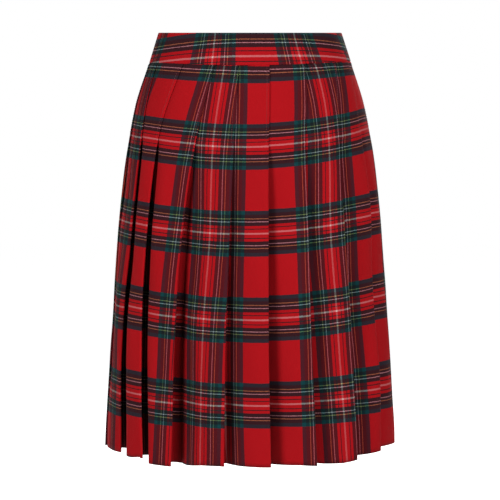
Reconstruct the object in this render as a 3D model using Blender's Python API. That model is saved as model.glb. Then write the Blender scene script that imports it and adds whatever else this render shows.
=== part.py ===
# Knee-length tartan skirt with one-way knife pleats, filled out as if worn.
# Metres, +Z up. The front faces -Y, left means -X, and the origin is the middle of the waist,
# where a wearer holds the skirt. Angles run round the skirt from centre front towards +X.

import math
from collections import namedtuple

import bmesh
import bpy
import numpy
from mathutils import Matrix, Vector

# Cloth and seams
CLOTH = 0.0012              # thickness of the wool
LAYER_STEP = 0.0021         # from the middle of one folded layer to the middle of the next
SEAM_GAP = 0.0003           # between two pieces that are sewn together

# Pleats
BACK_PLEATS = 10            # behind the eight front folds of the table below
STITCHED_DROP = 0.135       # the fold edges are stitched flat down to here
UNDERLAY = 0.72             # how far a pleat runs under its own panel, as a share of the panel
VALLEY_STEP = 0.1           # where a panel's steep side is shaped, as a share from its valley
OPENING_POWER = 0.8         # under 1 a pleat opens fast just below its stitching

# The ring of fold edges at each level. The drop is measured down centre front from the origin,
# and the row of threads at that level climbs by its rise towards each side.
Level = namedtuple("Level", "drop half_width half_depth rise_left rise_right")
LEVELS = (
    Level(0.0271, 0.1395, 0.1050, 0.0063, 0.0087),
    Level(0.0450, 0.1455, 0.1090, 0.0080, 0.0120),
    Level(0.0660, 0.1520, 0.1130, 0.0100, 0.0155),
    Level(0.0920, 0.1590, 0.1180, 0.0120, 0.0190),
    Level(STITCHED_DROP, 0.1675, 0.1245, 0.0140, 0.0220),
    Level(0.1850, 0.1750, 0.1300, 0.0145, 0.0225),
    Level(0.2500, 0.1820, 0.1355, 0.0148, 0.0227),
    Level(0.3200, 0.1875, 0.1400, 0.0145, 0.0225),
    Level(0.4000, 0.1925, 0.1440, 0.0125, 0.0200),
    Level(0.4800, 0.1975, 0.1475, 0.0090, 0.0150),
    Level(0.5550, 0.2015, 0.1505, 0.0057, 0.0100),
)

# Where each front fold edge stands, in degrees round the skirt. The gape is how deep the valley
# before it lies at the hem, and a panel's roundness says how it comes out of that valley: 1 is
# straight to its fold edge, and a high value is a steep side and a flat face.
FOLD_DROPS = (0.0271, STITCHED_DROP, 0.2600, 0.3850, 0.5550)
Fold = namedtuple("Fold", "waist hip thigh knee hem gape roundness")
FRONT_FOLDS = (
    Fold(-66.0, -61.9, -60.8, -63.6, -61.2, 0.036, 4.0),
    Fold(-40.6, -47.6, -48.3, -48.9, -44.6, 0.042, 6.0),
    Fold(-20.2, -26.0, -30.0, -31.8, -31.8, 0.044, 8.0),
    Fold(-6.3, -7.5, -8.8, -9.8, -9.9, 0.031, 2.0),
    Fold(10.6, 8.4, 7.7, 7.3, 7.9, 0.024, 1.7),
    Fold(32.5, 26.0, 25.2, 25.1, 26.3, 0.028, 1.7),
    Fold(56.0, 45.8, 43.9, 45.3, 45.7, 0.028, 1.7),
    Fold(74.0, 65.0, 65.3, 63.2, 62.6, 0.030, 1.7),
)
BACK_FOLD = Fold(None, None, None, None, None, 0.028, 2.0)

# Waistband: a shaped band of folded cloth, wider at its lower edge, that buttons at centre back
BAND_THICKNESS = 0.0030
BAND_EDGE = 0.0008          # radius of its folded edges
BAND_STEP = 5.0             # degrees between its points
BandEdge = namedtuple("BandEdge", "height half_width half_depth rise_left rise_right")
BAND_EDGES = (
    BandEdge(-LEVELS[0].drop + SEAM_GAP, 0.1390, 0.1046, 0.0063, 0.0087),
    BandEdge(-0.0050, 0.1330, 0.1004, 0.0053, 0.0066),
    BandEdge(0.0170, 0.1266, 0.0958, 0.0044, 0.0044),
)
LAP = 0.026                 # how far the band's left end lies over its right end
LAP_CLEARANCE = 0.0005      # between the lap's two layers
LAP_EASE = 10.0             # degrees over which the upper end comes back down onto the waist

# Button
BUTTON_RADIUS = 0.0090
BUTTON_THICKNESS = 0.0032
BUTTON_RIM = 0.0018
BUTTON_DISH = 0.0009
HOLE_RADIUS = 0.0010
HOLE_PLACE = 0.0020         # from the button's middle to each thread hole, across and up

# Cloth and button colours as they show in daylight, red, green and blue from 0 to 255
TARTAN_COLOUR = (134, 30, 38)
BAND_COLOUR = (128, 34, 42)
BUTTON_COLOUR = (30, 26, 32)


def linear(colour):
    def channel(value):
        value /= 255
        return value / 12.92 if value <= 0.04045 else ((value + 0.055) / 1.055) ** 2.4

    return (*(channel(value) for value in colour), 1.0)


def make_material(name, colour, roughness):
    material = bpy.data.materials.new(name)
    material.use_nodes = True
    shader = material.node_tree.nodes["Principled BSDF"]
    shader.inputs["Base Color"].default_value = linear(colour)
    shader.inputs["Roughness"].default_value = roughness
    shader.inputs["Metallic"].default_value = 0.0
    material.diffuse_color = linear(colour)
    return material


def smooth(places, values, place):
    """The height at one place of a curve without corners through the values at the places."""
    last = len(places) - 1

    def slope(k):
        low, high = max(k - 1, 0), min(k + 1, last)
        return (values[high] - values[low]) / (places[high] - places[low])

    i = next((k for k in range(last) if place <= places[k + 1]), last - 1)
    width = places[i + 1] - places[i]
    t = (place - places[i]) / width
    near = (2 * t**3 - 3 * t**2 + 1) * values[i] + (t**3 - 2 * t**2 + t) * width * slope(i)
    far = (3 * t**2 - 2 * t**3) * values[i + 1] + (t**3 - t**2) * width * slope(i + 1)
    return near + far


def on_outline(level, angle):
    """A point of the level's ellipse, with the directions out of and round the skirt there."""
    across, ahead = math.sin(angle), -math.cos(angle)
    point = Vector((level.half_width * across, level.half_depth * ahead, 0))
    out = Vector((level.half_depth * across, level.half_width * ahead, 0)).normalized()
    along = Vector((-out.y, out.x, 0))
    return point, out, along


def climb(level, angle):
    rise = level.rise_right if math.sin(angle) > 0 else level.rise_left
    return rise * math.sin(angle) ** 2


def wall_object(name, right_side, wrong_side, material):
    """A closed wall between two grids of points, the cloth's right side and its wrong side."""
    mesh = bmesh.new()
    right = [[mesh.verts.new(point) for point in row] for row in right_side]
    wrong = [[mesh.verts.new(point) for point in row] for row in wrong_side]
    rows, columns = len(right), len(right[0])
    for i in range(rows - 1):
        for j in range(columns - 1):
            for grid in (right, wrong):
                mesh.faces.new((grid[i][j], grid[i][j + 1], grid[i + 1][j + 1], grid[i + 1][j]))
    for j in range(columns - 1):
        for i in (0, rows - 1):
            mesh.faces.new((right[i][j], right[i][j + 1], wrong[i][j + 1], wrong[i][j]))
    for i in range(rows - 1):
        for j in (0, columns - 1):
            mesh.faces.new((right[i][j], right[i + 1][j], wrong[i + 1][j], wrong[i][j]))
    bmesh.ops.recalc_face_normals(mesh, faces=mesh.faces)
    return add_object(name, mesh, material)


def add_object(name, mesh, material):
    data = bpy.data.meshes.new(name)
    mesh.to_mesh(data)
    mesh.free()
    data.materials.append(material)
    data.shade_smooth()
    data.set_sharp_from_angle(angle=math.radians(50))
    item = bpy.data.objects.new(name, data)
    bpy.context.scene.collection.objects.link(item)
    return item


def even_by_length(level, start, end, count):
    """Angles that divide the outline between two angles into equal lengths, both ends left out."""
    angles = numpy.linspace(start, end, 400)
    steps = numpy.hypot(
        numpy.diff(level.half_width * numpy.sin(angles)),
        numpy.diff(level.half_depth * numpy.cos(angles)),
    )
    length = numpy.concatenate(([0], numpy.cumsum(steps)))
    return list(numpy.interp(length[-1] * numpy.arange(1, count + 1) / (count + 1), length, angles))


def fold_angles(level):
    """The angle of every fold edge at a level: the front folds, the back folds, the first again."""
    front = [math.radians(smooth(FOLD_DROPS, fold[:5], level.drop)) for fold in FRONT_FOLDS]
    first_again = front[0] + 2 * math.pi
    return front + even_by_length(level, front[-1], first_again, BACK_PLEATS) + [first_again]


def fold_shape(number):
    return FRONT_FOLDS[number] if number < len(FRONT_FOLDS) else BACK_FOLD


def pleat_depth(level, number):
    """How far the valley before a fold edge lies inside the outline."""
    below = (level.drop - STITCHED_DROP) / (LEVELS[-1].drop - STITCHED_DROP)
    return 2 * LAYER_STEP + fold_shape(number).gape * max(below, 0) ** OPENING_POWER


def pleat_line(level, number):
    """One pleat's line at a level, from its valley to halfway along the layer that leads to the
    next panel. Each point has an angle, a shift along the outline, a distance out, and which way
    the cloth's right side faces there: out, in or along the outline."""
    angles = fold_angles(level)
    count = len(angles) - 1
    here = angles[number]
    before = angles[number - 1] if number else angles[count - 1] - 2 * math.pi
    panel = here - before
    depth = pleat_depth(level, number)
    next_depth = pleat_depth(level, (number + 1) % count)

    roundness = fold_shape(number).roundness

    def surface(share):
        return -depth * share**roundness

    radius = LAYER_STEP / 2
    deep, middle = here - UNDERLAY * panel, here - UNDERLAY / 2 * panel
    inner_fold = surface(UNDERLAY) - LAYER_STEP
    lead_in = (inner_fold - LAYER_STEP - next_depth) / 2
    return [
        (before, 0, surface(1), "out"),
        (before + VALLEY_STEP * panel, 0, surface(1 - VALLEY_STEP), "out"),
        (deep, 0, surface(UNDERLAY), "out"),
        (middle, 0, surface(UNDERLAY / 2), "out"),
        (here, -radius, 0, "out"),
        (here, 0, -radius, "along"),
        (here, -radius, -LAYER_STEP, "in"),
        (middle, 0, surface(UNDERLAY / 2) - LAYER_STEP, "in"),
        (deep, radius, inner_fold, "in"),
        (deep, 0, inner_fold - radius, "along"),
        (deep, radius, inner_fold - LAYER_STEP, "out"),
        (middle, 0, lead_in, "out"),
    ]


def panel_line(level, first, last):
    """The line of a cut panel: from the seam before its first pleat to the seam after its last."""
    count = len(fold_angles(level)) - 1
    angle, shift, out, facing = pleat_line(level, (first - 1) % count)[-1]
    turn = 0 if first else -2 * math.pi
    line = [(angle + turn, shift + SEAM_GAP / 2, out, facing)]
    for number in range(first, last + 1):
        line += pleat_line(level, number)
    angle, shift, out, facing = line[-1]
    line[-1] = (angle, shift - SEAM_GAP / 2, out, facing)
    return line


def make_panel(name, first, last, material):
    right_side, wrong_side = [], []
    for level in LEVELS:
        right_row, wrong_row = [], []
        for angle, shift, distance, facing in panel_line(level, first, last):
            point, out, along = on_outline(level, angle)
            middle = point + out * distance + along * shift
            middle.z = climb(level, angle) - level.drop
            half = {"out": out, "in": -out, "along": along}[facing] * (CLOTH / 2)
            right_row.append(middle + half)
            wrong_row.append(middle - half)
        right_side.append(right_row)
        wrong_side.append(wrong_row)
    return wall_object(name, right_side, wrong_side, material)


def make_band(name, start, end, material, lift=None):
    """A stretch of the waistband between two angles in degrees, lifted off the waist at a lap."""
    steps = max(2, round(abs(end - start) / BAND_STEP))
    degrees = [start + (end - start) * k / steps for k in range(steps + 1)]
    outer, inner = [], []
    for edge in BAND_EDGES:
        outer_row, inner_row = [], []
        for degree in degrees:
            angle = math.radians(degree)
            point, out, _ = on_outline(edge, angle)
            point.z = edge.height + climb(edge, angle)
            point += out * (lift(degree) if lift else 0)
            outer_row.append(point)
            inner_row.append(point - out * BAND_THICKNESS)
        outer.append(outer_row)
        inner.append(inner_row)
    band = wall_object(name, outer, inner, material)
    bevel = band.modifiers.new("folded edges", "BEVEL")
    bevel.width = BAND_EDGE
    bevel.segments = 1
    bevel.limit_method = "ANGLE"
    bevel.angle_limit = math.radians(50)
    return band


def make_button(place, lean, material):
    """A round sewn-through button with four holes, its face turned to the back."""
    half = BUTTON_THICKNESS / 2
    profile = (
        (0, -half),
        (BUTTON_RADIUS - BUTTON_RIM, -half),
        (BUTTON_RADIUS, -half / 3),
        (BUTTON_RADIUS, half / 2),
        (BUTTON_RADIUS - BUTTON_RIM / 2, half),
        (BUTTON_RADIUS - BUTTON_RIM, half - BUTTON_DISH / 3),
        (BUTTON_RADIUS - 1.6 * BUTTON_RIM, half - BUTTON_DISH),
        (0, half - BUTTON_DISH),
    )
    mesh = bmesh.new()
    points = [mesh.verts.new((radius, 0, height)) for radius, height in profile]
    edges = [mesh.edges.new(pair) for pair in zip(points, points[1:])]
    bmesh.ops.spin(mesh, geom=points + edges, axis=(0, 0, 1), steps=28, angle=2 * math.pi)
    bmesh.ops.remove_doubles(mesh, verts=mesh.verts, dist=1e-5)
    bmesh.ops.recalc_face_normals(mesh, faces=mesh.faces)
    button = add_object("button", mesh, material)
    button.matrix_world = Matrix.Translation(place) @ Matrix.Rotation(lean - math.pi / 2, 4, "X")

    drill = bmesh.new()
    for across in (-HOLE_PLACE, HOLE_PLACE):
        for up in (-HOLE_PLACE, HOLE_PLACE):
            bmesh.ops.create_cone(
                drill, cap_ends=True, segments=10, radius1=HOLE_RADIUS, radius2=HOLE_RADIUS,
                depth=3 * BUTTON_THICKNESS, matrix=Matrix.Translation((across, up, 0)),
            )
    holes = add_object("button_holes", drill, material)
    holes.matrix_world = button.matrix_world
    holes.hide_render = True
    holes.display_type = "WIRE"
    cut = button.modifiers.new("thread holes", "BOOLEAN")
    cut.operation = "DIFFERENCE"
    cut.object = holes
    return button


def main():
    for item in list(bpy.data.objects):
        bpy.data.objects.remove(item)

    tartan = make_material("wool_tartan", TARTAN_COLOUR, 0.9)
    band_cloth = make_material("wool_tartan_band", BAND_COLOUR, 0.9)
    horn = make_material("dark_button", BUTTON_COLOUR, 0.35)

    # One front and two backs, joined where a hidden layer leads from one pleat to the next
    front_last = len(FRONT_FOLDS) - 1
    back_middle = front_last + BACK_PLEATS // 2
    back_last = front_last + BACK_PLEATS
    make_panel("skirt_front", 0, front_last, tartan)
    make_panel("skirt_back_right", front_last + 1, back_middle, tartan)
    make_panel("skirt_back_left", back_middle + 1, back_last, tartan)

    # The band meets edge to edge at the side seams, and laps at centre back
    widest = BAND_EDGES[1].half_width
    side_gap = math.degrees(SEAM_GAP / 2 / BAND_EDGES[1].half_depth)
    half_lap = math.degrees(math.asin(LAP / 2 / widest))
    lap_end = 180 + half_lap
    over = BAND_THICKNESS + LAP_CLEARANCE

    def lift(degree):
        past = min(max((degree - lap_end - BAND_STEP) / LAP_EASE, 0), 1)
        return over * (1 - past * past * (3 - 2 * past))

    make_band("waistband_front", -90 + side_gap, 90 - side_gap, band_cloth)
    make_band("waistband_back_right", 90 + side_gap, lap_end, band_cloth)
    make_band("waistband_back_left", 180 - half_lap, 270 - side_gap, band_cloth, lift)

    lower, middle, upper = BAND_EDGES
    lean = math.atan2(lower.half_depth - upper.half_depth, upper.height - lower.height)
    away = over + SEAM_GAP + BUTTON_THICKNESS / 2
    place = Vector((0, middle.half_depth + away * math.cos(lean),
                    middle.height + away * math.sin(lean)))
    make_button(place, lean, horn)


main()
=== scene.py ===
# Pleated tartan skirt: its cloth, waistband, sewing and button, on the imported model.
import math
from collections import namedtuple

import bpy
import numpy as np
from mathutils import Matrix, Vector


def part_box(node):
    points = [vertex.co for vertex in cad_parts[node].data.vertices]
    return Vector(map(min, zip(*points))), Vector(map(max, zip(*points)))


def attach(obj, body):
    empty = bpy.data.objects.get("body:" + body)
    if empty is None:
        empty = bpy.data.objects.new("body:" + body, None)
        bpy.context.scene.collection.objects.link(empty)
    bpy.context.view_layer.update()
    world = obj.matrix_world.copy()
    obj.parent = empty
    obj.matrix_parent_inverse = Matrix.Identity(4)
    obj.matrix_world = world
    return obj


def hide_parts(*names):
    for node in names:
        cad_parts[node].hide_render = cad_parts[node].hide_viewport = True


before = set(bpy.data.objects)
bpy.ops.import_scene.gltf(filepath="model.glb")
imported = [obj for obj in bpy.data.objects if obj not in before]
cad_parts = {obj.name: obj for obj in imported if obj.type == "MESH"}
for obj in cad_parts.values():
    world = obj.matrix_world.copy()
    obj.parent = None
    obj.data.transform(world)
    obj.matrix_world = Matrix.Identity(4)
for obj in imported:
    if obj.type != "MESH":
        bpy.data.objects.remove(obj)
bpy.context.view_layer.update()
body = "root"
mm = 0.001     # the scene is in metres
print("frame loaded")


# helpers for numbers, node trees and meshes

def linear(colour):
    # colours are written as 0 to 255; shaders want linear light
    parts = [part / 255 for part in colour]
    return [c / 12.92 if c < 0.04 else ((c + 0.055) / 1.055) ** 2.4 for c in parts]


def smooth(places, values, place):
    # a curve without corners through the values at the places
    last = len(places) - 1

    def slope(k):
        low, high = max(k - 1, 0), min(k + 1, last)
        return (values[high] - values[low]) / (places[high] - places[low])

    i = next((k for k in range(last) if place <= places[k + 1]), last - 1)
    width = places[i + 1] - places[i]
    t = (place - places[i]) / width
    near = (2 * t**3 - 3 * t**2 + 1) * values[i] + (t**3 - 2 * t**2 + t) * width * slope(i)
    far = (3 * t**2 - 2 * t**3) * values[i + 1] + (t**3 - t**2) * width * slope(i + 1)
    return near + far


def ease(value, low, high):
    # grows from 0 at the low value to 1 at the high one, gently at both ends
    t = np.clip((value - low) / (high - low), 0, 1)
    return t * t * (3 - 2 * t)


class Tree:
    # a node tree with short calls for the nodes used most; an input is a value or another node's output

    def __init__(self, tree):
        self.tree = tree

    def put(self, value, socket):
        if isinstance(value, bpy.types.NodeSocket):
            self.tree.links.new(value, socket)
        else:
            socket.default_value = value

    def add(self, kind, inputs=(), **settings):
        node = self.tree.nodes.new(kind)
        for key, value in settings.items():
            setattr(node, key, value)
        for key, value in dict(inputs).items():
            self.put(value, node.inputs[key])
        return node

    def math(self, operation, *values):
        return self.add("ShaderNodeMath", enumerate(values), operation=operation).outputs[0]

    def vector(self, operation, *values):
        return self.add("ShaderNodeVectorMath", enumerate(values), operation=operation).outputs[0]

    def scale(self, vector, factor):
        return self.add("ShaderNodeVectorMath", {0: vector, "Scale": factor}, operation="SCALE").outputs[0]

    def combine(self, x=0.0, y=0.0, z=0.0):
        return self.add("ShaderNodeCombineXYZ", enumerate((x, y, z))).outputs[0]

    def separate(self, vector):
        return self.add("ShaderNodeSeparateXYZ", [(0, vector)]).outputs

    def mix(self, factor, low, high):
        # low where the factor is 0, high where it is 1
        return self.math("MULTIPLY_ADD", self.math("SUBTRACT", high, low), factor, low)

    def mixColor(self, blend, factor, first, second):
        inputs = {0: factor, 6: first, 7: second}
        return self.add("ShaderNodeMix", inputs, data_type="RGBA", blend_type=blend).outputs[2]

    def greenOf(self, color):
        return self.add("ShaderNodeSeparateColor", [(0, color)]).outputs[1]

    def noise(self, where, scale, detail, **more):
        inputs = dict(Vector=where, Scale=scale, Detail=detail, **more)
        return self.add("ShaderNodeTexNoise", inputs).outputs["Fac"]


def newGroup(name, kind, inputs, outputs):
    # sockets are (name, type, value) rows; comes back with the group's given inputs and its results
    tree = bpy.data.node_groups.new(name, kind)
    for label, socketKind, value in inputs:
        socket = tree.interface.new_socket(label, in_out="INPUT", socket_type="NodeSocket" + socketKind)
        if value is not None:
            socket.default_value = value
    for label, socketKind in outputs:
        tree.interface.new_socket(label, in_out="OUTPUT", socket_type="NodeSocket" + socketKind)
    made = Tree(tree)
    return made, made.add("NodeGroupInput").outputs, made.add("NodeGroupOutput").inputs


def newObject(name, points, faces=(), edges=()):
    mesh = bpy.data.meshes.new(name)
    mesh.from_pydata([tuple(point) for point in points], edges, faces)
    obj = bpy.data.objects.new(name, mesh)
    bpy.context.scene.collection.objects.link(obj)
    return obj


def finishTree(tree, geometry, given, result):
    # every geometry tree ends as one real, smooth mesh in the material that it is given
    real = tree.add("GeometryNodeRealizeInstances", {"Geometry": geometry})
    soft = tree.add("GeometryNodeSetShadeSmooth", {"Geometry": real.outputs[0]})
    inputs = {"Geometry": soft.outputs[0], "Material": given["Material"]}
    tree.put(tree.add("GeometryNodeSetMaterial", inputs).outputs[0], result[0])
    tree.tree.is_modifier = True
    return tree.tree


def grow(name, tree, values, points=(), edges=()):
    # runs a geometry tree with the named values, and keeps its result as a plain mesh
    obj = newObject(name, points, edges=edges)
    modifier = obj.modifiers.new(tree.name, "NODES")
    modifier.node_group = tree
    for item in tree.interface.items_tree:
        if item.in_out == "INPUT" and item.name in values:
            modifier[item.identifier] = values[item.name]
    finished = obj.evaluated_get(bpy.context.evaluated_depsgraph_get())
    mesh = bpy.data.meshes.new_from_object(finished)
    obj.modifiers.clear()
    obj.data = mesh
    return obj


# studio, with its camera set first at the photo's angle: just above the hips, looking a little down

studio = dict(
    eye=(0, -2.9, -0.113), aim=(0, 0, -0.2785), lens=150.9, sensor=36,
    leftPlace=(-2.0, -2.4, 0.75), leftSize=1.4, leftPower=107,
    rightPlace=(1.9, -2.5, 0.65), rightSize=1.4, rightPower=108,
    backPlace=(1.0, 2.9, 1.9), backSize=1.6, backPower=125,
    skyLight=0.10, skySeen=1.0,
    floorHeight=-1.05, floorSize=14, floorTone=0.9, floorGrain=0.04, floorGlow=0.9,
)


def makeCamera():
    data = bpy.data.cameras.new("camera")
    data.lens, data.sensor_width = studio["lens"], studio["sensor"]
    camera = bpy.data.objects.new("camera", data)
    bpy.context.scene.collection.objects.link(camera)
    eye, aim = Vector(studio["eye"]), Vector(studio["aim"])
    camera.location = eye
    camera.rotation_euler = (aim - eye).to_track_quat("-Z", "Y").to_euler()
    bpy.context.scene.camera = camera


makeCamera()
print("camera placed")


# tartan: half a sett in millimetres from its white pivot outwards, the same along and across the cloth

tartan = dict(
    stripes=[("white", 0.9), ("red", 4.5), ("navy", 1.3), ("red", 3.6), ("navy", 4.95), ("pale", 0.9),
             ("navy", 3.0), ("yellow", 0.85), ("navy", 5.0), ("green", 5.3), ("red", 27.2)],
    yarns=dict(red=(142, 5, 13), green=(5, 46, 49), navy=(12, 20, 22),
               white=(172, 142, 136), pale=(142, 156, 158), yellow=(118, 130, 72)),
    warpShare=0.38,          # the weft covers more of the face than the warp
    paleBlend=1.1,           # how far a light thread keeps its own colour where it crosses a dark one
    thread=0.45 * mm, twill=0.16, relief=0.5, reliefDepth=0.18 * mm, unevenness=0.10,
    slub=0.6 * mm, nap=1.1 * mm,     # how far the stripes' edges waver, slowly and finely
    slubScale=55.0, napScale=1100.0, fuzzScale=420.0, patchScale=14.0,
    fuzzHeight=0.9, fuzzRoughness=0.16, roughness=0.78,
)
halfSett = sum(width for _, width in tartan["stripes"]) * mm
sett = 2 * halfSett


def yarnGroup():
    # the colour of the yarn at a distance along the cloth, mirrored at each pivot
    group, given, result = newGroup("yarn order", "ShaderNodeTree", [("Distance", "Float", 0.0)],
                                    [("Color", "Color")])
    share = group.math("DIVIDE", group.math("PINGPONG", given["Distance"], halfSett), halfSett)
    ramp = group.add("ShaderNodeValToRGB", [(0, share)])
    ramp.color_ramp.interpolation = "CONSTANT"
    stops, start = ramp.color_ramp.elements, 0.0
    stops.remove(stops[1])
    for k, (yarn, width) in enumerate(tartan["stripes"]):
        stop = stops[0] if k == 0 else stops.new(start)
        stop.position = start
        stop.color = (*linear(tartan["yarns"][yarn]), 1)
        start += width * mm / halfSett
    group.put(ramp.outputs["Color"], result["Color"])
    return group.tree


def twillGroup(yarns):
    # two-and-two twill of warp and weft yarns: its colour, thread height and roughness
    group, given, result = newGroup(
        "tartan twill", "ShaderNodeTree",
        [("Cloth", "Vector", None), ("Tall Sett", "Float", 1.0), ("Thread", "Float", tartan["thread"]),
         ("Twill", "Float", tartan["twill"]), ("Warp Share", "Float", tartan["warpShare"]),
         ("Pale Blend", "Float", tartan["paleBlend"]), ("Unevenness", "Float", tartan["unevenness"])],
        [("Color", "Color"), ("Height", "Float"), ("Roughness", "Float")])
    across, along, _ = group.separate(given["Cloth"])
    slub = group.noise(given["Cloth"], tartan["slubScale"], 2.0)
    nap = group.noise(given["Cloth"], tartan["napScale"], 1.0)
    waver = group.math("MULTIPLY_ADD", nap, tartan["nap"], -(tartan["slub"] + tartan["nap"]) / 2)
    sway = group.math("MULTIPLY_ADD", slub, tartan["slub"], waver)
    warp = group.add("ShaderNodeGroup", node_tree=yarns)
    weft = group.add("ShaderNodeGroup", node_tree=yarns)
    group.put(group.math("ADD", across, sway), warp.inputs[0])
    group.put(group.math("SUBTRACT", group.math("DIVIDE", along, given["Tall Sett"]), sway), weft.inputs[0])

    # threads are counted both ways, and the warp is on top in two of every four crossings
    column = group.math("DIVIDE", across, given["Thread"])
    row = group.math("DIVIDE", along, given["Thread"])
    count = group.math("ADD", group.math("FLOOR", column), group.math("FLOOR", row))
    warpOnTop = group.math("LESS_THAN", group.math("FLOORED_MODULO", count, 4.0), 1.5)
    lean = group.math("MULTIPLY", group.math("SUBTRACT", warpOnTop, 0.5), given["Twill"])
    warpShare = group.math("ADD", given["Warp Share"], lean)
    weftShare = group.math("SUBTRACT", 1.0, warpShare)
    warpPart = group.add("ShaderNodeGamma", dict(Color=warp.outputs[0], Gamma=warpShare)).outputs[0]
    weftPart = group.add("ShaderNodeGamma", dict(Color=weft.outputs[0], Gamma=weftShare)).outputs[0]
    deep = group.mixColor("MULTIPLY", 1.0, warpPart, weftPart)
    even = group.mixColor("MIX", weftShare, warp.outputs[0], weft.outputs[0])
    lightest = group.math("MAXIMUM", group.greenOf(warp.outputs[0]), group.greenOf(weft.outputs[0]))
    crossed = group.mixColor("MIX", group.math("MULTIPLY", lightest, given["Pale Blend"]), deep, even)

    # carded wool is never quite even
    fuzz = group.noise(given["Cloth"], tartan["fuzzScale"], 3.0, Roughness=0.7)
    patch = group.noise(given["Cloth"], tartan["patchScale"], 2.0)
    both = group.math("MULTIPLY_ADD", patch, 0.5, fuzz)
    shade = group.math("MULTIPLY_ADD", group.math("SUBTRACT", both, 0.75), given["Unevenness"], 1.0)
    group.put(group.scale(crossed, shade), result["Color"])

    def roundness(count):
        middle = group.math("SUBTRACT", group.math("FRACT", count), 0.5)
        return group.math("MULTIPLY_ADD", group.math("MULTIPLY", middle, middle), -4.0, 1.0)

    warpRound = group.math("MULTIPLY", roundness(column), warpOnTop)
    weftRound = group.math("MULTIPLY", roundness(row), group.math("SUBTRACT", 1.0, warpOnTop))
    thread = group.math("ADD", warpRound, weftRound)
    group.put(group.math("MULTIPLY_ADD", fuzz, tartan["fuzzHeight"], thread), result["Height"])
    rough = group.math("MULTIPLY_ADD", fuzz, tartan["fuzzRoughness"], tartan["roughness"])
    group.put(rough, result["Roughness"])
    return group.tree


def newMaterial(name):
    material = bpy.data.materials.new(name)
    material.use_nodes = True
    material.node_tree.nodes.clear()
    tree = Tree(material.node_tree)
    shader = tree.add("ShaderNodeBsdfPrincipled")
    out = tree.add("ShaderNodeOutputMaterial")
    tree.put(shader.outputs[0], out.inputs["Surface"])
    return material, tree, shader.inputs


def woolMaterial(name, twill, tallSett, pressed):
    # wool tartan on a piece's own cloth map, in metres of cloth, its check stretched along the warp by the
    # tall sett; the fold edges get a painted highlight, their colour made a little lighter
    material, tree, shader = newMaterial(name)
    cloth = tree.add("ShaderNodeUVMap", uv_map="cloth")
    weave = tree.add("ShaderNodeGroup", node_tree=twill)
    tree.put(cloth.outputs[0], weave.inputs["Cloth"])
    weave.inputs["Tall Sett"].default_value = tallSett
    bump = tree.add("ShaderNodeBump", dict(Strength=tartan["relief"], Distance=tartan["reliefDepth"]))
    tree.put(weave.outputs["Height"], bump.inputs["Height"])
    foldHighlight = tree.add("ShaderNodeAttribute", attribute_name="foldHighlight")
    # the fold edges' colour is lifted by pressed: a painted highlight
    lift = tree.math("MULTIPLY_ADD", foldHighlight.outputs["Fac"], pressed, 1.0)
    tree.put(tree.scale(weave.outputs["Color"], lift), shader["Base Color"])
    tree.put(weave.outputs["Roughness"], shader["Roughness"])
    tree.put(bump.outputs[0], shader["Normal"])
    shader["Sheen Weight"].default_value = 0.02
    shader["Sheen Roughness"].default_value = 0.4
    shader["Sheen Tint"].default_value = (1.0, 0.8, 0.78, 1)
    shader["Specular IOR Level"].default_value = 0.08
    return material


twill = twillGroup(yarnGroup())
# pressed is how much lighter the fold edges are painted, a painted highlight
skirtWool = woolMaterial("woolTartan", twill, tallSett=1.0, pressed=0.02)
bandWool = woolMaterial("woolTartanBand", twill, tallSett=1.16, pressed=0.0)
print("tartan woven")


# skirt cloth: one-way knife pleats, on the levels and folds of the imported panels

Level = namedtuple("Level", "drop halfWidth halfDepth riseLeft riseRight")
Fold = namedtuple("Fold", "turn gape roundness grain slip")
pleats = dict(
    stitchedDrop=0.135,      # fold edges are sewn flat down to here
    openingPower=0.58,       # below that they open fast at first, then more slowly
    backCount=10,
    underlay=0.72,           # how far a pleat runs under its panel
    pocket=0.55,             # an open pleat's hidden layer is at its full depth after this share of its width
    foldRadius=(0.65 * mm, 1.05 * mm),     # pressed flat where it is sewn, and softer at the hem
    softening=(0.10, 0.22),                # the fold edges soften between these drops
    thickness=1.1 * mm,
    rows=82,
    seamRows=(-0.0008, 0.0003, 0.0014, 0.0026, 0.0042, 0.0068, 0.011),     # close ones, below the waist seam
    visibleSteps=18, noseSteps=6, hiddenSteps=6, turnSteps=4,     # points across one pleat
    crowding=1.35,           # they stand closer towards the valley
    clothPerPleat=sett * 4 / 3,
    ripple=0.7 * mm,         # soft unevenness of the hanging cloth, in these swells:
    # waves round the skirt, radians for each metre down it, phase and strength
    swells=[(5, 17, 0.6, 1.0), (9, -23, 2.1, 1.0), (23, 31, 0.0, 0.6), (31, -47, 1.3, 0.4)],
    sewnRipple=0.25, rippling=(0.09, 0.24),     # its share where it is sewn, and the drops where it grows
    seamDip=1.5 * mm, seamReach=1.8 * mm,       # the cloth is drawn in where it enters the waistband
    tuck=2.6 * mm,           # and goes on up inside it
    lapTurns=(182.0, 186.0, 190.6, 200.6),      # its top follows the band out beside the lap
    lapLift=3.4 * mm, lapReach=0.03,
    pivotDrop=0.135,         # a white line crosses centre front here
    weftScale=1.015,         # cloth length for each metre of drop
    fallDrop=0.45,           # the hem's fall starts here
    drawPower=6,             # the sides alone are drawn in
)
levels = [
    Level(0.0271, 0.1395, 0.1050, 0.0063, 0.0087),
    Level(0.0450, 0.1455, 0.1090, 0.0080, 0.0120),
    Level(0.0660, 0.1520, 0.1130, 0.0100, 0.0155),
    Level(0.0920, 0.1590, 0.1180, 0.0120, 0.0190),
    Level(0.1350, 0.1675, 0.1245, 0.0140, 0.0220),
    Level(0.1850, 0.1750, 0.1300, 0.0145, 0.0225),
    Level(0.2500, 0.1820, 0.1355, 0.0148, 0.0227),
    Level(0.3200, 0.1875, 0.1400, 0.0145, 0.0225),
    Level(0.4000, 0.1925, 0.1440, 0.0125, 0.0200),
    Level(0.4800, 0.1975, 0.1475, 0.0090, 0.0150),
    Level(0.5550, 0.2015, 0.1505, 0.0057, 0.0100),
]
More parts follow.
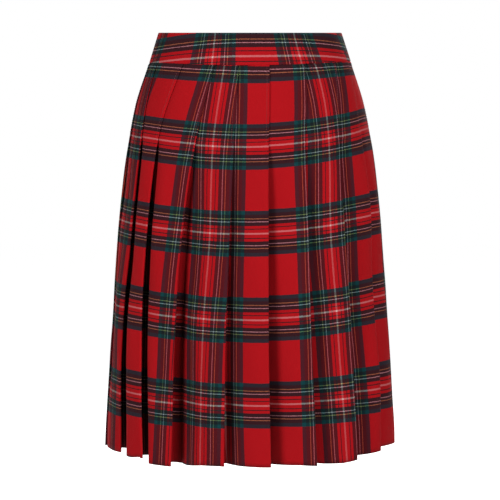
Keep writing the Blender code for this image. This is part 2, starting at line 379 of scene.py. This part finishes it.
foldDrops = [0.0271, 0.135, 0.260, 0.385, 0.555]     # waist, hip, thigh, knee, hem

# the front's fold edges from left to right: turns in degrees at these drops, gape at the hem, roundness of
# the panel, and, in millimetres at these drops, the warp on the fold edge and how far the lines slip up
frontFolds = [
    Fold((-66.0, -62.5, -62.6, -64.8, -62.8), -0.001, 1.7,
         (30.0, 31.2, 35.4, 41.4, 42.8), (0, 0, 0, 0, 0)),
    Fold((-40.6, -48.4, -49.5, -50.3, -46.2), 0.029, 7.0,
         (67.3, 71.4, 66.4, 70.2, 79.9), (0, 1.4, 1.4, 4.2, 5.2)),
    Fold((-20.2, -26.0, -30.0, -31.8, -31.8), 0.031, 9.0,
         (-13.6, -9.0, -8.8, -5.8, -2.6), (0, 1.2, 0.5, -0.6, -1.4)),
    Fold((-6.3, -7.5, -8.8, -9.8, -9.9), 0.031, 2.0,
         (19.2, 28.0, 27.0, 32.6, 35.0), (0, -0.4, -0.5, -0.4, 0.2)),
    Fold((10.6, 8.4, 7.7, 7.3, 7.9), 0.024, 1.7,
         (59.2, 59.8, 62.8, 66.0, 66.2), (0, -0.3, -0.5, -0.3, 0)),
    Fold((32.5, 26.0, 25.2, 25.1, 26.3), 0.028, 1.7,
         (-10.8, -14.3, -13.8, -14.2, -11.6), (2.2, 0.9, 0.8, 0.1, -1.3)),
    Fold((56.0, 45.8, 43.9, 45.3, 45.7), 0.028, 1.7,
         (36.0, 17.6, 21.5, 20.2, 16.6), (1.8, 0.8, 0.3, -0.6, -3.4)),
    Fold((74.0, 65.0, 65.3, 63.2, 62.6), 0.030, 1.7,
         (48.7, 54.4, 57.9, 54.4, 48.6), (1.0, 0, 0.6, 0.8, 1.6)),
]
backFold = Fold(None, 0.028, 2.0, None, (0, 0, 0, 0, 0))

# how far the weft lines hang below a level ring: drop, everywhere, tilt to one side, both sides
weftSag = [
    (0.0271, -0.0040, 0.0018, 0.0), (0.045, -0.0014, 0.0012, -0.0012), (0.07, -0.0004, 0.0, -0.0016),
    (0.135, -0.0004, -0.0010, -0.0022), (0.260, 0.0010, -0.0018, -0.0005),
    (0.385, 0.0019, -0.0018, -0.0012), (0.555, 0.0020, 0.0, 0.0015),
]

# how far the hem hangs below a level ring: turn in degrees, millimetres
hemFall = [
    (-62, 0.3), (-56, 2.6), (-52, 2.2), (-48.5, 0.2), (-46.4, 0.2), (-45, 6.7), (-27, 7.0), (-19, 3.1),
    (-11, 2.0), (-4, 3.4), (20, 3.7), (32, 6.9), (39, 6.9), (49, 3.9), (62, 0.8), (75, 0),
]

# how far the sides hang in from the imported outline: drop, left and right in millimetres
sideDraw = [
    (0.0271, 0, 0), (0.037, 1.2, 2.0), (0.078, 1.1, 3.6), (0.13, 1.8, 3.5), (0.16, 2.1, 2.4),
    (0.21, 2.4, 1.5), (0.26, 1.0, 1.9), (0.32, 1.0, 4.4), (0.36, 0.7, 3.7), (0.41, 0.9, 1.6),
    (0.45, 1.4, 0.2), (0.50, 1.5, -0.7), (0.53, 1.4, -0.9), (0.555, 1.5, 0.5),
]

waistDrop, hemDrop = levels[0].drop, levels[-1].drop
foldCount = len(frontFolds) + pleats["backCount"]
cutPoint = 3     # a panel is cut at this point of a hidden layer, counted from the layer's far end


def levelAt(drop):
    drops, *columns = zip(*levels)
    return Level(drop, *(smooth(drops, column, drop) for column in columns))


def onOutline(level, angle):
    # points of the level's ellipse, with the directions out of it and round it
    across, ahead = np.sin(angle), -np.cos(angle)
    point = np.stack([level.halfWidth * across, level.halfDepth * ahead], -1)
    out = np.stack([level.halfDepth * across, level.halfWidth * ahead], -1)
    out = out / np.linalg.norm(out, axis=-1, keepdims=True)
    return point, out, np.stack([-out[..., 1], out[..., 0]], -1)


def foldAngles(level):
    # the front's fold edges where the photo shows them, and the back's spread evenly over the rest
    front = [math.radians(smooth(foldDrops, fold.turn, level.drop)) for fold in frontFolds]
    again = front[0] + 2 * math.pi
    angles = np.linspace(front[-1], again, 400)
    points = onOutline(level, angles)[0]
    length = np.concatenate([[0], np.cumsum(np.linalg.norm(np.diff(points, axis=0), axis=1))])
    shares = np.arange(1, pleats["backCount"] + 1) / (pleats["backCount"] + 1)
    return front + list(np.interp(length[-1] * shares, length, angles)) + [again]


def foldOf(number):
    number %= foldCount
    return frontFolds[number] if number < len(frontFolds) else backFold


def grainAt(drop):
    # where the warp lies at each fold edge, counted on round the skirt pleat by pleat
    hip = [fold.grain[1] * mm for fold in frontFolds]
    grains, total = [], hip[0]
    for number in range(foldCount):
        if number >= len(frontFolds):
            grains.append(grains[-1] + pleats["clothPerPleat"])
            continue
        if number:
            due = total + pleats["clothPerPleat"]
            total = hip[number] + sett * round((due - hip[number]) / sett)
        grains.append(total + smooth(foldDrops, frontFolds[number].grain, drop) * mm - hip[number])
    return grains


def pleatLine(level, number, angles):
    # one pleat from its valley, over its fold edge and back under: angle, shift round, distance out, share of
    # the painted highlight
    here = angles[number]
    before = angles[number - 1] if number else angles[foldCount - 1] - 2 * math.pi
    panel = here - before
    opened = max((level.drop - pleats["stitchedDrop"]) / (hemDrop - pleats["stitchedDrop"]), 0)
    opening = opened ** pleats["openingPower"]
    pressed, soft = pleats["foldRadius"]
    radius = pressed + (soft - pressed) * ease(level.drop, *pleats["softening"])
    under, power = pleats["underlay"], foldOf(number).roundness
    depth, nextDepth = (4 * radius + foldOf(k).gape * opening for k in (number, number + 1))
    hiddenShares = np.linspace(0, 1, pleats["hiddenSteps"] + 1)[1:-1]
    line = []

    def surface(share):
        return -depth * share**power

    # the panel that shows, round its fold edge, and the layer under it
    for t in np.linspace(0, 1, pleats["visibleSteps"] + 1)[:-1] ** pleats["crowding"]:
        line.append((before + t * panel, 0, surface(1 - t), 0))
    # the fold's nose gets the full painted highlight, and the deep turn 0.4 of it
    for turn in np.linspace(math.pi / 2, -math.pi / 2, pleats["noseSteps"]):
        line.append((here, radius * (math.cos(turn) - 1), radius * (math.sin(turn) - 1), 1))
    for t in hiddenShares:
        line.append((here - t * under * panel, 0, surface(t * under) - 2 * radius, 0))

    # round the deep fold, and the layer that comes out again at the next valley
    deep, inner = here - under * panel, surface(under) - 2 * radius
    for turn in np.linspace(0, math.pi, pleats["turnSteps"]):
        line.append((deep, radius * (1 - math.sin(turn)), inner - radius * (1 - math.cos(turn)), 0.4))

    def pocket(share):
        return (inner - 2 * radius) * (1 - share) - nextDepth * share

    for t in hiddenShares:
        sunk = t + (min(t / pleats["pocket"], 1) - t) * opening
        line.append((deep + t * under * panel, 0, min(pocket(t), pocket(sunk)), 0))
    return line


def unevenness(angle, drop):
    # the cloth moves in and out as it hangs, in long soft swells, and is drawn in at the waist seam
    free = pleats["sewnRipple"] + (1 - pleats["sewnRipple"]) * ease(drop, *pleats["rippling"])
    swell = sum(strength * np.sin(waves * angle + turns * drop + phase)
                for waves, turns, phase, strength in pleats["swells"])
    dip = pleats["seamDip"] * min(math.exp((waistDrop - drop) / pleats["seamReach"]), 1)
    turn, (start, full, end, flat) = np.degrees(angle) % 360, pleats["lapTurns"]
    lap = pleats["lapLift"] * ease(turn, start, full) * (1 - ease(turn, end, flat))
    lapFades = 1 - ease(drop, waistDrop, waistDrop + pleats["lapReach"])
    return pleats["ripple"] * free * swell - dip + lap * lapFades


def hang(angle, drop):
    # how far the cloth falls below its level ring, more and more towards the hem
    turns, falls = zip(*hemFall)
    turn = (np.degrees(angle) + 180) % 360 - 180
    return np.interp(turn, turns, falls, 0, 0) * mm * ease(drop, pleats["fallDrop"], hemDrop)


def drawn(angle, drop):
    # how far the cloth hangs in from the level's outline, at the sides
    drops, left, right = zip(*sideDraw)
    inLeft, inRight = (smooth(drops, side, max(drop, waistDrop)) * mm for side in (left, right))
    return np.where(np.sin(angle) > 0, inRight, inLeft) * np.sin(angle) ** pleats["drawPower"]


def place(level, angle, shift, out):
    # points of the cloth, from their angles, shifts round the outline and distances out of it
    point, outward, along = onOutline(level, angle)
    out = out + unevenness(angle, level.drop) - drawn(angle, level.drop)
    flat = point + outward * out[:, None] + along * shift[:, None]
    climb = np.where(np.sin(angle) > 0, level.riseRight, level.riseLeft) * np.sin(angle) ** 2
    return np.column_stack([flat, climb - level.drop - hang(angle, level.drop)])


def panelRow(level, first, last):
    # one row of a cut panel: its points, and each one's cloth coordinates and share of the painted highlight
    angles, grains = foldAngles(level), grainAt(level.drop)
    line = pleatLine(level, (first - 1) % foldCount, angles)[-cutPoint:]
    if first == 0:
        line = [(angle - 2 * math.pi, *rest) for angle, *rest in line]
    owner, starts = [first] * len(line), {}
    for number in range(first, last + 1):
        starts[number] = len(line)
        more = pleatLine(level, number, angles)
        line += more if number < last else more[:1 - cutPoint]
        owner += [number] * (len(line) - len(owner))
    angle, shift, out, foldHighlight = np.array(line).T
    points = place(level, angle, shift, out)

    # the warp keeps to the fold edges, and the hidden layers take what is left of the cloth
    steps = np.linalg.norm(np.diff(points[:, :2], axis=0), axis=1)
    length = np.concatenate([[0], np.cumsum(steps)])
    places, cloth = [], []
    for number, start in starts.items():
        edge = start + pleats["visibleSteps"] + 2     # the foremost point round the fold
        places += [length[start], length[edge]]
        cloth += [grains[number] - (length[edge] - length[start]), grains[number]]
    cloth = [cloth[0] - places[0]] + cloth + [cloth[-1] + length[-1] - places[-1]]
    across = np.interp(length, [0] + places + [length[-1]], cloth)
    drops, everywhere, tilt, sides = zip(*weftSag)
    sag = (smooth(drops, everywhere, level.drop) + smooth(drops, tilt, level.drop) * np.sin(angle)
           + smooth(drops, sides, level.drop) * np.sin(angle) ** 2)
    slips = {k: smooth(foldDrops, foldOf(k).slip, level.drop) * mm for k in set(owner)}
    fallen = level.drop - pleats["pivotDrop"] + hang(angle, level.drop)
    down = fallen * pleats["weftScale"] + np.array([slips[k] for k in owner]) - sag
    return points, np.column_stack([across, -down]), foldHighlight


def makePanel(name, first, last, node):
    # the cloth from one pleat to another, with its cloth map; comes back with the size that it was cut to
    seam = waistDrop + np.array([-pleats["tuck"], *pleats["seamRows"]])
    drops = np.concatenate([seam[:-1], np.linspace(seam[-1], hemDrop, pleats["rows"])])
    rows = [panelRow(levelAt(drop), first, last) for drop in drops]
    width = len(rows[0][0])
    points, cloth, foldHighlights = (np.concatenate(part) for part in zip(*rows))
    corner = (np.arange(len(drops) - 1)[:, None] * width + np.arange(width - 1)[None]).ravel()
    faces = np.column_stack([corner, corner + width, corner + width + 1, corner + 1])
    panel = newObject(name, points, faces.tolist())
    mesh = panel.data
    clothMap = mesh.uv_layers.new(name="cloth")
    corners = np.empty(len(mesh.loops), dtype=np.int32)
    mesh.loops.foreach_get("vertex_index", corners)
    clothMap.data.foreach_set("uv", cloth[corners].astype(np.float32).ravel())
    # each point's share of the painted highlight on the fold edges
    mesh.attributes.new("foldHighlight", "FLOAT", "POINT").data.foreach_set("value", foldHighlights.astype(np.float32))
    mesh.shade_smooth()
    mesh.materials.append(skirtWool)
    wall = panel.modifiers.new("thickness", "SOLIDIFY")
    wall.thickness = pleats["thickness"]
    wall.offset = 0
    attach(panel, body)
    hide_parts(node)
    cut = pleats["clothPerPleat"] * (last - first + 1), (hemDrop - waistDrop) * pleats["weftScale"]
    return panel, cut


frontLast = len(frontFolds) - 1
backMiddle = frontLast + pleats["backCount"] // 2
panels = [
    makePanel("skirtFront", 0, frontLast, "skirt_front"),
    makePanel("skirtBackRight", frontLast + 1, backMiddle, "skirt_back_right"),
    makePanel("skirtBackLeft", backMiddle + 1, foldCount - 1, "skirt_back_left"),
]
print("skirt pleated:", foldCount, "pleats")


# waistband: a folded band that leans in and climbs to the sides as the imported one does

band = dict(
    bottom=-0.0268, top=0.0170, thickness=0.0030, rounding=0.0013, step=0.003, sectionStep=0.0007,
    bottomHalfWidth=0.1390, bottomHalfDepth=0.1046, topHalfWidth=0.1261, topHalfDepth=0.0958,
    riseLeft=(0.0063, 0.0044), riseRight=(0.0087, 0.0044),     # at its bottom and top edges
    seamTurn=0.06,             # degrees left open at each seam between the pieces
    lap=0.026, lapHalfWidth=0.133, lapClearance=0.0005,
    lapEnds=185.0, lapEase=10.0,     # the upper end comes down again from this turn on, over these degrees
    whitePivot=-0.0144,        # height of the white line at centre front
    warpPivot=-0.049,          # and how far round a white warp line stands
    lapWarpPivot=-0.017,       # the end that laps over was cut from another place in the check
    warpLean=1 / 0.934,        # the warp leans more, the further round it is
    girth=(0.5235, 0.26),      # way round its middle for the cloth map: evenly, and swinging twice each round
    sagLeft=0.0135, sagRight=0.0100, sagPower=(2.0, 4.0),
)


def bandTree():
    numbers = {
        "From": -90.0, "To": 90.0, "Step": band["step"], "Bottom": band["bottom"], "Top": band["top"],
        "Thickness": band["thickness"], "Rounding": band["rounding"],
        "Bottom Half Width": band["bottomHalfWidth"], "Bottom Half Depth": band["bottomHalfDepth"],
        "Top Half Width": band["topHalfWidth"], "Top Half Depth": band["topHalfDepth"],
        "Rise Left Bottom": band["riseLeft"][0], "Rise Left Top": band["riseLeft"][1],
        "Rise Right Bottom": band["riseRight"][0], "Rise Right Top": band["riseRight"][1],
        "Lift": 0.0, "Lift Ends": 0.0, "Lift Ease": 1.0,
        "White Pivot": band["whitePivot"], "Warp Pivot": band["warpPivot"], "Warp Lean": 0.0,
        "Sag Left": band["sagLeft"], "Sag Right": band["sagRight"],
        "Sag Power Left": band["sagPower"][0], "Sag Power Right": band["sagPower"][1],
    }
    sockets = [(name, "Float", value) for name, value in numbers.items()]
    tree, given, result = newGroup(
        "shaped band", "GeometryNodeTree",
        [("Geometry", "Geometry", None), *sockets, ("Material", "Material", None)],
        [("Geometry", "Geometry")])

    # a straight strip of the band's section first: x is the angle round, y the way in, z the height
    height = tree.math("SUBTRACT", given["Top"], given["Bottom"])
    start, end = (tree.combine(tree.math("RADIANS", given[edge])) for edge in ("From", "To"))
    turned = tree.math("DIVIDE", given["Step"], given["Top Half Width"])
    line = tree.add("GeometryNodeCurvePrimitiveLine", {"Start": start, "End": end}).outputs[0]
    line = tree.add("GeometryNodeResampleCurve", {"Curve": line, "Length": turned}, mode="LENGTH").outputs[0]
    line = tree.add("GeometryNodeSetCurveNormal", {"Curve": line}, mode="Z_UP").outputs[0]
    section = tree.add("GeometryNodeCurvePrimitiveQuadrilateral",
                       {"Width": given["Thickness"], "Height": height}).outputs[0]
    section = tree.add("GeometryNodeFilletCurve", {"Curve": section, "Count": 5, "Radius": given["Rounding"]},
                       mode="POLY").outputs[0]
    section = tree.add("GeometryNodeResampleCurve", {"Curve": section, "Length": band["sectionStep"]},
                       mode="LENGTH").outputs[0]
    strip = tree.add("GeometryNodeCurveToMesh",
                     {"Curve": line, "Profile Curve": section, "Fill Caps": True}).outputs[0]
    angle, inward, level = tree.separate(tree.add("GeometryNodeInputPosition").outputs[0])
    high = tree.math("ADD", tree.math("DIVIDE", level, height), 0.5)
    above = tree.mix(high, given["Bottom"], given["Top"])
    out = tree.math("MULTIPLY", inward, -1.0)
    sine, cosine = tree.math("SINE", angle), tree.math("COSINE", angle)
    onRight = tree.math("GREATER_THAN", sine, 0.0)
    side = tree.math("ABSOLUTE", sine)

    # cloth map: round the middle of the band, and over its folded top edge
    even, swing = band["girth"]
    both = tree.math("ADD", given["Top Half Width"], given["Top Half Depth"])
    apart = tree.math("SUBTRACT", given["Top Half Width"], given["Top Half Depth"])
    twice = tree.math("SINE", tree.math("MULTIPLY", angle, 2.0))
    around = tree.math("MULTIPLY_ADD", tree.math("MULTIPLY", both, even), angle,
                       tree.math("MULTIPLY", tree.math("MULTIPLY", apart, swing), twice))
    fromPivot = tree.math("SUBTRACT", around, given["Warp Pivot"])
    leaning = tree.math("MULTIPLY", tree.math("MULTIPLY", fromPivot, given["Warp Lean"]),
                        tree.math("SUBTRACT", above, given["White Pivot"]))
    power = tree.mix(onRight, given["Sag Power Left"], given["Sag Power Right"])
    sag = tree.math("MULTIPLY", tree.mix(onRight, given["Sag Left"], given["Sag Right"]),
                    tree.math("POWER", side, power))
    edge = tree.math("MULTIPLY", given["Thickness"], 0.5)
    outer = tree.math("ADD", above, tree.math("SUBTRACT", edge, out))
    inner = tree.math("ADD", tree.math("SUBTRACT", tree.math("MULTIPLY", given["Top"], 2.0), above), edge)
    upward = tree.mix(tree.math("GREATER_THAN", out, 0.0), inner, outer)
    fromWhite = tree.math("ADD", tree.math("SUBTRACT", upward, given["White Pivot"]), sag)
    cloth = tree.combine(tree.math("ADD", fromPivot, leaning), fromWhite)
    mapped = tree.add("GeometryNodeStoreNamedAttribute", {"Geometry": strip, "Name": "cloth", "Value": cloth},
                      data_type="FLOAT2", domain="CORNER").outputs[0]

    # then the strip is bent round the waist
    halfWidth = tree.mix(high, given["Bottom Half Width"], given["Top Half Width"])
    halfDepth = tree.mix(high, given["Bottom Half Depth"], given["Top Half Depth"])
    ahead = tree.math("MULTIPLY", cosine, -1.0)
    ring = tree.combine(tree.math("MULTIPLY", halfWidth, sine), tree.math("MULTIPLY", halfDepth, ahead))
    outward = tree.vector("NORMALIZE", tree.combine(tree.math("MULTIPLY", halfDepth, sine),
                                                    tree.math("MULTIPLY", halfWidth, ahead)))
    settled = tree.math("ADD", given["Lift Ends"], given["Lift Ease"])
    lift = tree.add("ShaderNodeMapRange",
                    {"Value": tree.math("DEGREES", angle), "From Min": given["Lift Ends"],
                     "From Max": settled, "To Min": given["Lift"], "To Max": 0.0},
                    interpolation_type="SMOOTHSTEP").outputs[0]
    proud = tree.math("ADD", tree.math("SUBTRACT", out, edge), lift)
    low = tree.math("MULTIPLY", tree.mix(onRight, given["Rise Left Bottom"], given["Rise Right Bottom"]),
                    tree.math("MULTIPLY", side, side))
    rim = tree.math("MULTIPLY", tree.mix(onRight, given["Rise Left Top"], given["Rise Right Top"]),
                    tree.math("SUBTRACT", 1.0, tree.math("ABSOLUTE", cosine)))
    lifted = tree.math("ADD", tree.mix(high, low, rim), above)
    placed = tree.vector("ADD", tree.vector("ADD", ring, tree.scale(outward, proud)),
                         tree.combine(0.0, 0.0, lifted))
    bent = tree.add("GeometryNodeSetPosition", {"Geometry": mapped, "Position": placed}).outputs[0]
    return finishTree(tree, bent, given, result)


shapedBand = bandTree()
seamTurn = band["seamTurn"]
halfLap = math.degrees(math.asin(band["lap"] / 2 / band["lapHalfWidth"]))


def makeBand(name, start, end, node, more):
    # one piece of the band between two turns in degrees, with values that it alone has
    piece = grow(name, shapedBand, {"From": start, "To": end, "Material": bandWool, **more})
    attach(piece, body)
    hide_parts(node)
    return piece


bands = [
    makeBand("waistbandFront", -90 + seamTurn, 90 - seamTurn, "waistband_front",
             {"Warp Lean": band["warpLean"]}),
    makeBand("waistbandBackRight", 90 + seamTurn, 180 + halfLap, "waistband_back_right", {}),
    makeBand("waistbandBackLeft", 180 - halfLap, 270 - seamTurn, "waistband_back_left",
             {"Warp Pivot": band["lapWarpPivot"], "Lift": band["thickness"] + band["lapClearance"],
              "Lift Ends": band["lapEnds"] + halfLap, "Lift Ease": band["lapEase"]}),
]
print("waistband folded")


# sewing: edge stitches down the fold edges to the hip and up the lap's end

sewing = dict(
    pitch=0.0032, length=0.0021, width=0.00055, wobble=0.06,
    inset=0.0033, start=0.031, end=0.1285, edgePoints=50,      # the lines down the fold edges
    lapShares=(0.05, 0.95), lapPoints=12,                      # the line up the band
    red=(96, 12, 20), dark=(24, 16, 22),
)


def stitchTree():
    # one small rounded stitch at each pitch along the lines, laid along them or across them
    tree, given, result = newGroup(
        "stitches along a line", "GeometryNodeTree",
        [("Geometry", "Geometry", None), ("Pitch", "Float", 0.003), ("Length", "Float", 0.002),
         ("Width", "Float", 0.0005), ("Facing", "Vector", None), ("Across", "Float", 0.0),
         ("Seed", "Int", 3), ("Material", "Material", None)], [("Geometry", "Geometry")])
    lines = tree.add("GeometryNodeMeshToCurve", {"Mesh": given["Geometry"]}).outputs[0]
    evenly = tree.add("GeometryNodeResampleCurve", {"Curve": lines, "Length": given["Pitch"]}, mode="LENGTH")
    tangent = tree.add("GeometryNodeInputTangent").outputs[0]
    crosswise = tree.vector("CROSS_PRODUCT", tangent, given["Facing"])
    heading = tree.vector("ADD", tree.scale(crosswise, given["Across"]),
                          tree.scale(tangent, tree.math("SUBTRACT", 1.0, given["Across"])))
    most = sewing["wobble"]
    wobble = tree.add("FunctionNodeRandomValue", {0: (-most, -most, -most), 1: (most, most, most),
                                                  "Seed": given["Seed"]}, data_type="FLOAT_VECTOR").outputs[0]
    uneven = tree.vector("ADD", heading, wobble)
    turned = tree.add("FunctionNodeAlignRotationToVector", {"Vector": uneven}, axis="Z")
    stitch = tree.add("GeometryNodeMeshUVSphere", {"Segments": 6, "Rings": 4, "Radius": 0.5})
    placed = tree.add("GeometryNodeInstanceOnPoints", {
        "Points": evenly.outputs[0], "Instance": stitch.outputs[0], "Rotation": turned.outputs[0],
        "Scale": tree.combine(given["Width"], given["Width"], given["Length"])}).outputs[0]
    return finishTree(tree, placed, given, result)


def threadMaterial(name, colour):
    # twisted thread with fine slanting plies, painted darker between them as shade in the grooves
    material, tree, shader = newMaterial(name)
    where = tree.add("ShaderNodeTexCoord").outputs["Object"]
    plies = tree.add("ShaderNodeTexWave", {"Vector": where, "Scale": 900.0, "Distortion": 1.5},
                     bands_direction="DIAGONAL").outputs["Fac"]
    # the darker colour is painted shade between the plies
    low, high = (*linear([part * 0.75 for part in colour]), 1), (*linear(colour), 1)
    tree.put(tree.mixColor("MIX", plies, low, high), shader["Base Color"])
    bump = tree.add("ShaderNodeBump", dict(Strength=0.4, Distance=0.0001))
    tree.put(plies, bump.inputs["Height"])
    tree.put(bump.outputs[0], shader["Normal"])
    shader["Roughness"].default_value = 0.6
    shader["Sheen Weight"].default_value = 0.1
    return material


stitches = stitchTree()
redThread = threadMaterial("redThread", sewing["red"])
darkThread = threadMaterial("darkThread", sewing["dark"])


def polyline(paths):
    # the points and edges of a mesh that has all the paths
    points, edges = [], []
    for path in paths:
        edges += [(len(points) + k, len(points) + k + 1) for k in range(len(path) - 1)]
        points += path
    return points, edges


def edgeLines(numbers):
    # lines just behind the fold edges, on the face of the cloth
    paths = []
    for number in numbers:
        path = []
        for drop in np.linspace(sewing["start"], sewing["end"], sewing["edgePoints"]):
            level = levelAt(drop)
            at = (foldAngles(level)[number], -sewing["inset"], pleats["thickness"] * 0.5)
            path.append(tuple(place(level, *np.array(at)[:, None])[0]))
        paths.append(path)
    return polyline(paths)


def lapLine():
    # up the face of the band, just inside the end that laps over
    angle, path = math.radians(180 - halfLap) + sewing["inset"] / band["topHalfWidth"], []
    for share in np.linspace(*sewing["lapShares"], sewing["lapPoints"]):
        height, halfWidth, halfDepth = (band["bottom" + part] * (1 - share) + band["top" + part] * share
                                        for part in ("", "HalfWidth", "HalfDepth"))
        point, out, _ = onOutline(Level(-height, halfWidth, halfDepth, 0, 0), angle)
        path.append((*(point + out * (band["thickness"] + band["lapClearance"])), height))
    return polyline([path])


def sew(name, lines, material, more):
    # stitches along the lines, with values that they alone have
    piece = grow(name, stitches, {"Material": material, **more}, *lines)
    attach(piece, body)
    return piece


running = {"Pitch": sewing["pitch"], "Length": sewing["length"], "Width": sewing["width"]}
sew("edgeStitchesFront", edgeLines(range(len(frontFolds))), redThread, running)
sew("edgeStitchesBack", edgeLines(range(len(frontFolds), foldCount)), redThread, running)
sew("lapStitches", lapLine(), redThread, running)
print("pleats stitched")


# button at the centre back, where the band laps over, with its thread and buttonhole

button = dict(
    thickness=0.0032, dish=0.0009, holeStep=0.002, horn=(34, 24, 22), streak=(92, 66, 44),
    strand=0.675 * mm, strandShift=0.36 * mm, strandPoints=13,
    arch=0.6 * mm, crossing=0.4 * mm,     # how high the thread lies on the face, and over itself
    plunge=2.2 * mm, plungeFrom=0.72,     # it goes down into the holes at its ends
    slit=0.021, slitWidth=0.0022, slitShift=0.002, slitBehind=0.0001,
    slitPitch=0.0007, slitStitch=0.0019, slitStitchWidth=0.0007,     # the stitches round the slit
)


def hornMaterial():
    # dark horn with slanting streaks, polished and a little scuffed
    material, tree, shader = newMaterial("polishedHorn")
    where = tree.add("ShaderNodeTexCoord").outputs["Object"]
    streaks = tree.add("ShaderNodeMapping", {"Vector": where, "Scale": (40.0, 40.0, 260.0),
                                             "Rotation": (0.0, 0.5, 0.0)}).outputs[0]
    cloud = tree.noise(streaks, 1.6, 6.0, Roughness=0.62, Distortion=0.6)
    ramp = tree.add("ShaderNodeValToRGB", [(0, cloud)])
    for stop, position, colour in zip(ramp.color_ramp.elements, (0.46, 0.78), ("horn", "streak")):
        stop.position, stop.color = position, (*linear(button[colour]), 1)
    tree.put(ramp.outputs[0], shader["Base Color"])
    scuff = tree.noise(where, 900.0, 3.0)
    tree.put(tree.math("MULTIPLY_ADD", scuff, 0.25, 0.26), shader["Roughness"])
    bump = tree.add("ShaderNodeBump", dict(Strength=0.15, Distance=0.0001))
    tree.put(cloud, bump.inputs["Height"])
    tree.put(bump.outputs[0], shader["Normal"])
    shader["Specular IOR Level"].default_value = 0.35
    shader["Coat Weight"].default_value = 0.1
    shader["Coat Roughness"].default_value = 0.2
    return material


def threadTree():
    # a round thread along the lines
    tree, given, result = newGroup("thread along a line", "GeometryNodeTree",
                                   [("Geometry", "Geometry", None), ("Width", "Float", 0.001),
                                    ("Material", "Material", None)], [("Geometry", "Geometry")])
    lines = tree.add("GeometryNodeMeshToCurve", {"Mesh": given["Geometry"]}).outputs[0]
    circle = tree.add("GeometryNodeCurvePrimitiveCircle",
                      {"Resolution": 8, "Radius": tree.math("MULTIPLY", given["Width"], 0.5)}).outputs[0]
    tube = tree.add("GeometryNodeCurveToMesh", {"Curve": lines, "Profile Curve": circle, "Fill Caps": True})
    return finishTree(tree, tube.outputs[0], given, result)


bandLean = math.atan2(band["bottomHalfDepth"] - band["topHalfDepth"], band["top"] - band["bottom"])
buttonLow, buttonHigh = (Vector(corner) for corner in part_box("button"))
buttonMiddle = (buttonLow + buttonHigh) / 2
buttonAcross = Vector((-1, 0, 0))     # to the right, as seen from behind the skirt
buttonUp = Vector((0, -math.sin(bandLean), math.cos(bandLean)))
buttonOut = Vector((0, math.cos(bandLean), math.sin(bandLean)))


def onButton(x, y, z):
    # a point so far across the button from its middle, up it and out of its face
    return tuple(buttonMiddle + buttonAcross * x + buttonUp * y + buttonOut * z)


def polishButton():
    horn = hornMaterial()
    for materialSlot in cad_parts["button"].material_slots:
        materialSlot.material = horn


def sewButton():
    # two strands each way cross over between opposite holes
    face = button["thickness"] / 2 - button["dish"]
    paths = []
    for way in (1, -1):
        for aside in (-button["strandShift"], button["strandShift"]):
            path = []
            for t in np.linspace(-1, 1, button["strandPoints"]):
                reach = button["holeStep"] * t
                sunk = button["plunge"] * max(abs(t) - button["plungeFrom"], 0) / (1 - button["plungeFrom"])
                raised = face + button["arch"] - sunk + (button["crossing"] if way < 0 else 0)
                path.append(onButton(reach + aside, way * (reach - aside), raised))
            paths.append(path)
    thread = grow("buttonThread", threadTree(), {"Width": button["strand"], "Material": darkThread},
                  *polyline(paths))
    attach(thread, body)


def sewButtonhole():
    # the slit shows beside the button, towards the band's end
    half, wide = button["slit"] / 2, button["slitWidth"] / 2
    back = -button["thickness"] / 2 - button["slitBehind"]
    loop = []
    for turn in np.linspace(0, 2 * math.pi, 33):
        x = button["slitShift"] + math.copysign(half, math.cos(turn)) + wide * math.cos(turn)
        loop.append(onButton(x, wide * math.sin(turn), back))
    sew("buttonholeStitches", polyline([loop]), darkThread,
        {"Pitch": button["slitPitch"], "Length": button["slitStitch"], "Width": button["slitStitchWidth"],
         "Facing": tuple(buttonOut), "Across": 1.0})


polishButton()
sewButton()
sewButtonhole()
print("button sewn on")


# stage: a pale floor, a white room and three soft lamps

def makeFloor():
    size, height = studio["floorSize"], studio["floorHeight"]
    corners = [(x * size, y * size, height) for x, y in ((-1, -1), (1, -1), (1, 1), (-1, 1))]
    floor = newObject("floor", corners, [(0, 1, 2, 3)])
    material, tree, shader = newMaterial("paleFloor")
    grain = tree.add("ShaderNodeTexNoise", dict(Scale=2.0, Detail=3.0)).outputs["Fac"]
    tone = tree.math("MULTIPLY_ADD", grain, studio["floorGrain"], studio["floorTone"])
    tree.put(tree.combine(tone, tone, tone), shader["Base Color"])
    shader["Roughness"].default_value = 0.8
    shader["Emission Color"].default_value = (1, 1, 1, 1)
    shader["Emission Strength"].default_value = studio["floorGlow"]
    under = tree.add("ShaderNodeNewGeometry").outputs["Backfacing"]
    tree.put(tree.math("SUBTRACT", 1.0, under), shader["Alpha"])     # the hem can be looked into from below
    floor.data.materials.append(material)
    floor.visible_diffuse = False      # its glow is for the camera only, so the cloth keeps its shadows


def makeRoom():
    # the camera sees it white, and it gives the cloth a little light
    world = bpy.data.worlds.new("softRoom")
    world.use_nodes = True
    world.node_tree.nodes.clear()
    tree = Tree(world.node_tree)
    seen = tree.add("ShaderNodeLightPath").outputs["Is Camera Ray"]
    strength = tree.mix(seen, studio["skyLight"], studio["skySeen"])
    back = tree.add("ShaderNodeBackground", {"Color": (1, 1, 1, 1), "Strength": strength})
    out = tree.add("ShaderNodeOutputWorld")
    tree.put(back.outputs[0], out.inputs["Surface"])
    bpy.context.scene.world = world
    bpy.context.scene.view_settings.view_transform = "Standard"


def makeLamp(name):
    data = bpy.data.lights.new(name + "Softbox", "AREA")
    data.shape = "DISK"
    data.size, data.energy = studio[name + "Size"], studio[name + "Power"]
    lamp = bpy.data.objects.new(name + "Softbox", data)
    bpy.context.scene.collection.objects.link(lamp)
    lamp.location = studio[name + "Place"]
    lamp.rotation_euler = (Vector(studio["aim"]) - lamp.location).to_track_quat("-Z", "Y").to_euler()


makeFloor()
makeRoom()
for side in ("left", "right", "back"):
    makeLamp(side)
print("studio lit")
